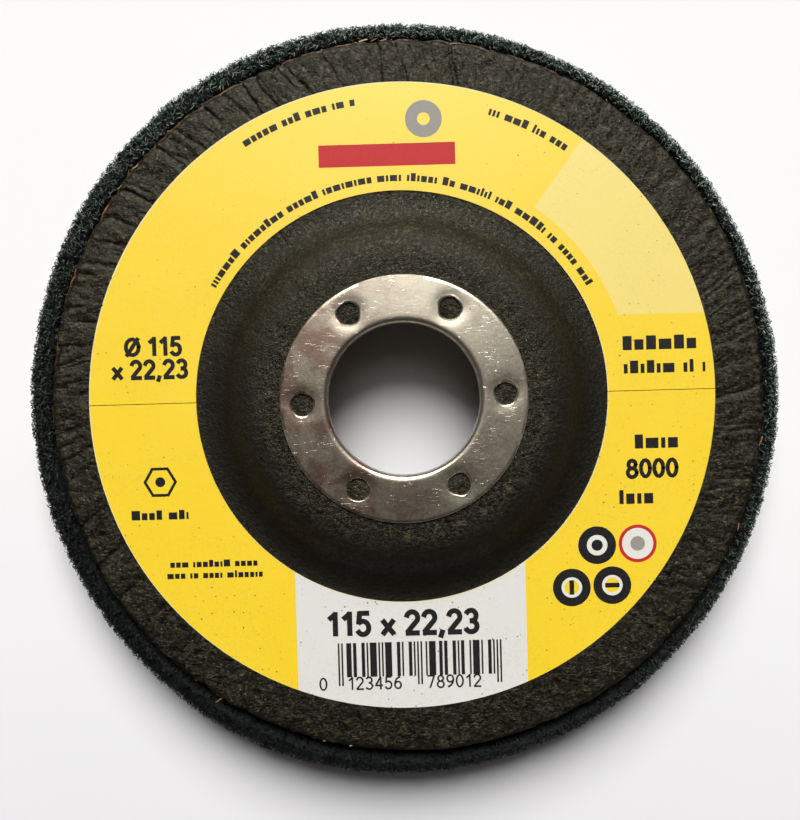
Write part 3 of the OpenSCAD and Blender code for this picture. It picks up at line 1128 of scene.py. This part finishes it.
def grey_print():
    """A plain washer over the block, and the dot of the round sign."""
    return [ring_bar(4.4, 41.4, 0.95, 2.75), ring_bar(34.9, -23.0, 0.0, 1.1)]


def white_print():
    """The ground of the round signs."""
    out = [ring_bar(34.9, -23.0, 1.1, 2.35), ring_bar(28.8, -23.1, 0.85, 1.55)]
    for x, y in ((24.85, -29.4), (30.95, -29.2)):
        out.append(ring_bar(x, y, 1.1, 1.55))
    return out


def label():
    paper = paper_material()
    label_half("label_upper", "label_upper_half", 1, paper)
    label_half("label_lower", "label_lower_half", -1, paper)
    for ink, patches, colour, lighter in (
        ("black", black_print(), (0.010, 0.009, 0.010), (0.040, 0.036, 0.030)),
        ("red", red_print(), (0.46, 0.018, 0.022), (0.52, 0.05, 0.04)),
        ("grey", grey_print(), (0.27, 0.26, 0.23), (0.34, 0.33, 0.28)),
        ("white", white_print(), (0.66, 0.66, 0.60), (0.70, 0.70, 0.66)),
    ):
        print_piece(f"print_{ink}", patches, ink_material(f"ink_{ink}", colour, lighter))


label()

# The centre ring: a pressed steel eyelet, with its edges drawn and its holes dished
RING_DRAW = 0.6 * MM
RING_ROUND = 0.18 * MM
RING_ROLL = 0.4 * MM
LIP_ROUND = 0.2 * MM
HOLE_R = 1.6 * MM
HOLE_FLARE = 0.27 * MM
HOLE_AT = 14.7 * MM
HOLE_TURN = math.radians(3.2)
HOLE_ANGLES = [HOLE_TURN + k * TAU / 6 for k in range(6)]
HOLES = [(HOLE_AT * math.cos(angle), HOLE_AT * math.sin(angle)) for angle in HOLE_ANGLES]
HUB_FRONT_Z = HUB_Z - PLATE_T
LIP_T = FLEECE_T + PLY_T
OUTER_N, INNER_N, HOLE_N = 320, 224, 44  # points round the flange, the bore and a hole


class Eyelet:
    """The ring's points and faces, made loop by loop."""

    def __init__(self):
        self.points, self.faces = [], []

    def loop(self, centre, r, z, count, hole=None):
        """A circle of points, or a hole's outline; z is a number or a function of x and y."""
        at = len(self.points)
        for k in range(count):
            angle = k * TAU / count
            reach = r if hole is None else r * hole_shape(hole, angle)
            x = centre[0] + reach * math.cos(angle)
            y = centre[1] + reach * math.sin(angle)
            self.points.append((x, y, z(x, y) if callable(z) else z))
        return list(range(at, at + count))

    def bridge(self, a, b):
        n = len(a)
        self.faces += [(a[k], a[(k + 1) % n], b[(k + 1) % n], b[k]) for k in range(n)]

    def sheet(self, outer_r, inner_r, hole_r, z):
        """Loops of one face of the flange: its edge, its bore and its holes."""
        outer = self.loop((0, 0), outer_r, z, OUTER_N)
        inner = self.loop((0, 0), inner_r, z, INNER_N)
        return [outer, inner] + [self.loop(h, hole_r, z, HOLE_N, k) for k, h in enumerate(HOLES)]

    def fill(self, loops, extra, inner_r, hole_r):
        """Triangles over one face of the flange, through extra points."""
        ids = [i for one in loops for i in one] + extra
        flat = [Vector(self.points[i][:2]) / MM for i in ids]
        edges, base = [], 0
        for one in loops:
            edges += [(base + k, base + (k + 1) % len(one)) for k in range(len(one))]
            base += len(one)
        made = delaunay_2d_cdt(flat, edges, [], 0, 1e-7)
        source = [ids[first[0]] for first in made[3]]
        for tri in made[2]:
            x = sum(made[0][k].x for k in tri) / 3 * MM
            y = sum(made[0][k].y for k in tri) / 3 * MM
            if inner_r < math.hypot(x, y) and hole_distance(x, y) > hole_r * 0.999:
                self.faces.append(tuple(source[k] for k in tri))

    def wall(self, first, steps, last, centre, count, hole=None):
        """Faces from one loop to another, by way of loops at (radius, height) steps."""
        row = first
        for r, z in steps:
            following = self.loop(centre, r, z, count, hole)
            self.bridge(row, following)
            row = following
        self.bridge(row, last)


def arc_steps(cx, cz, r, first, last, steps):
    """(radius, height) pairs along an arc, without its first point."""
    turns = np.radians(np.linspace(first, last, steps + 1))[1:]
    return [(cx + r * math.cos(t), cz + r * math.sin(t)) for t in turns]


def hole_shape(k, angle):
    """How the punched hole k departs from a true circle."""
    return 1 + 0.030 * math.sin(3 * angle + 2.1 * k) + 0.022 * math.sin(5 * angle + 1.3 * k * k)


def hole_distance(x, y):
    """Distance from the nearest anchoring hole's centre, evened out for the hole's shape."""
    away = []
    for k, (hx, hy) in enumerate(HOLES):
        away.append(math.hypot(x - hx, y - hy) / hole_shape(k, math.atan2(y - hy, x - hx)))
    return min(away)


def flange_height(x, y):
    """The flange's top: dished round the holes, a little wavy, and low along its bore."""
    away = hole_distance(x, y) - HOLE_R
    dish = 0.10 * MM * math.exp(-((max(away, 0) / (0.95 * MM)) ** 2))
    out = math.hypot(x, y) - BORE_R
    inner = 0.04 * MM * math.exp(-out / (0.8 * MM))
    dome = 0.040 * max(0.0, out - 0.9 * MM)
    wave = 0.024 * MM * float(noise(np.array(x / MM * 0.16), np.array(y / MM * 0.16), 0.0, 33))
    return RING_TOP - 0.03 * MM - dish - inner - dome + wave


def flange_points(solid, inner_r, outer_r, flare_r):
    """Points within the flange's top: rows round each hole, and circles between the holes."""
    extra = []
    for k, centre in enumerate(HOLES):
        for more in (0.15, 0.36, 0.62, 0.92):
            extra += solid.loop(centre, flare_r + more * MM, flange_height, HOLE_N, k)
    for r in np.arange(inner_r + 0.3 * MM, outer_r - 0.15 * MM, 0.42 * MM):
        for i in solid.loop((0, 0), r, flange_height, round(TAU * r / (0.45 * MM))):
            if hole_distance(*solid.points[i][:2]) > flare_r + 1.1 * MM:
                extra.append(i)
    low, high = inner_r + 0.12 * MM, outer_r - 0.1 * MM
    return [i for i in extra if low < math.hypot(*solid.points[i][:2]) < high]


def ring_piece():
    """The eyelet: its flange, the drawn edge, the collar, the rolled lip and the holes."""
    solid = Eyelet()
    outer_r, inner_r, flare_r = RING_R - RING_ROUND, BORE_R + RING_DRAW, HOLE_R + HOLE_FLARE
    upper = solid.sheet(outer_r, inner_r, flare_r, flange_height)
    solid.fill(upper, flange_points(solid, inner_r, outer_r, flare_r), inner_r, flare_r)
    # The underside has the same loops where the flange meets the hub
    under = solid.sheet(RING_R, PLATE_HOLE_R, HOLE_R, HUB_Z)
    solid.fill(under, [], PLATE_HOLE_R, HOLE_R)

    edge_z = flange_height(outer_r, 0.0) - RING_ROUND
    solid.wall(upper[0], arc_steps(outer_r, edge_z, RING_ROUND, 90, 0, 5), under[0], (0, 0), OUTER_N)
    flare_z = RING_TOP - 0.27 * MM - HOLE_FLARE
    steps = arc_steps(flare_r, flare_z, HOLE_FLARE, 90, 180, 5)[:-1] + [(HOLE_R, flare_z)]
    for k, centre in enumerate(HOLES):
        solid.wall(upper[2 + k], steps, under[2 + k], centre, HOLE_N, k)
    top = RING_TOP - 0.06 * MM
    collar = arc_steps(inner_r, top - RING_DRAW, RING_DRAW, 90, 180, 7)
    collar += [(BORE_R, z) for z in np.linspace(top - RING_DRAW, HUB_FRONT_Z + RING_ROLL, 6)[1:]]
    collar += arc_steps(BORE_R + RING_ROLL, HUB_FRONT_Z + RING_ROLL, RING_ROLL, 180, 270, 6)
    collar += [(LIP_END - LIP_ROUND, HUB_FRONT_Z)]
    collar += arc_steps(LIP_END - LIP_ROUND, HUB_FRONT_Z + LIP_ROUND, LIP_ROUND, -90, 0, 4)
    collar += [(LIP_END, HUB_FRONT_Z + LIP_T), (PLATE_HOLE_R, HUB_FRONT_Z + LIP_T)]
    solid.wall(upper[1], collar, under[1], (0, 0), INNER_N)

    obj = new_object("centre_ring_pressed", np.array(solid.points), solid.faces)
    mesh = bmesh.new()
    mesh.from_mesh(obj.data)
    bmesh.ops.delete(mesh, geom=[v for v in mesh.verts if not v.link_faces], context="VERTS")
    bmesh.ops.recalc_face_normals(mesh, faces=mesh.faces)
    for edge in mesh.edges:
        edge.smooth = edge.calc_face_angle(0) < math.radians(35)
    mesh.to_mesh(obj.data)
    mesh.free()
    finish_piece(obj, ring_material(), "ring_steel", "centre_ring")


ring_piece()

# The carried-over CAD nodes
for node_name, material in (
    ("front_cover_fleece", fleece_material("cover_fleece_front")),
    ("adhesive_bed", web_core_material()),
):
    node = frame["nodes"][node_name]
    node.data.materials.clear()
    node.data.materials.append(material)
